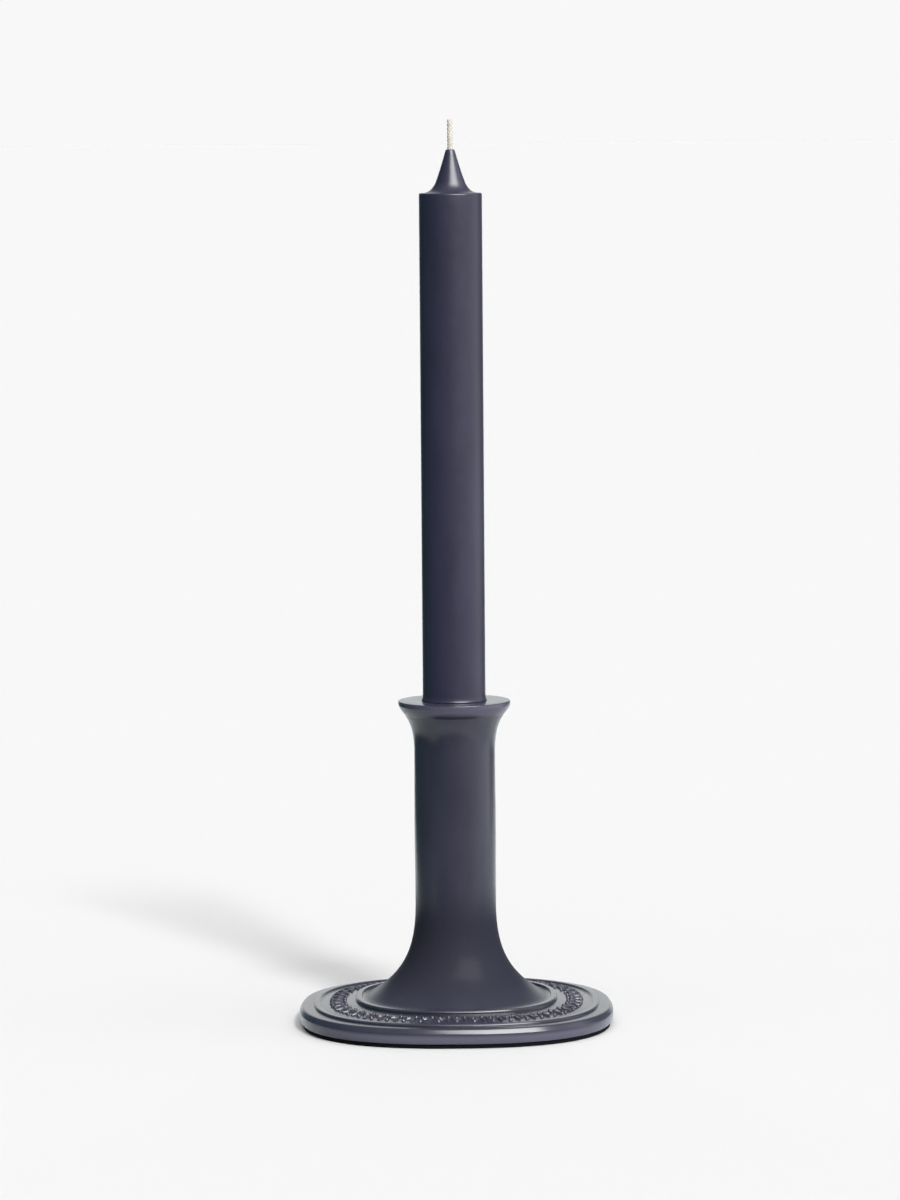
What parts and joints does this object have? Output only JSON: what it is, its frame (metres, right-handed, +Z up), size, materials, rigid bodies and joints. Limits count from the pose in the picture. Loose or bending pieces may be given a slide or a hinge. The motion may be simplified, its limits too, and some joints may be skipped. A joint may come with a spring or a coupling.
{
  "type": "candlestick with taper candle",
  "caption": "Low candlestick with a soft-square foot, ornamental band, flared round stem and lipped collar, holding a tall straight candle with a pointed tip and wick.",
  "frame": {"origin": "centre of the footprint, on the surface that the foot pad rests on", "axes": "+Z up along the axis of the stem and the candle, +X and +Y across the flats of the soft-square foot"},
  "size_m": [0.1104, 0.1104, 0.3174],
  "materials": {
    "satin_casting": "opaque dark aubergine cast material with a waxy satin surface",
    "candle_wax": "dyed-through dark aubergine wax, smooth satin",
    "black_felt": "thin pressed felt",
    "cotton_wick": "braided cotton, waxed"
  },
  "bodies": {
    "holder": {"candlestick": "satin_casting", "foot_pad": "black_felt"},
    "candle_body": {"candle": "candle_wax", "wick": "cotton_wick"}
  },
  "joints": [
    {"name": "candle_lift", "type": "slide", "parent": "holder", "child": "candle_body", "axis": [0, 0, 1], "range_m": [0, 0.04]}
  ]
}
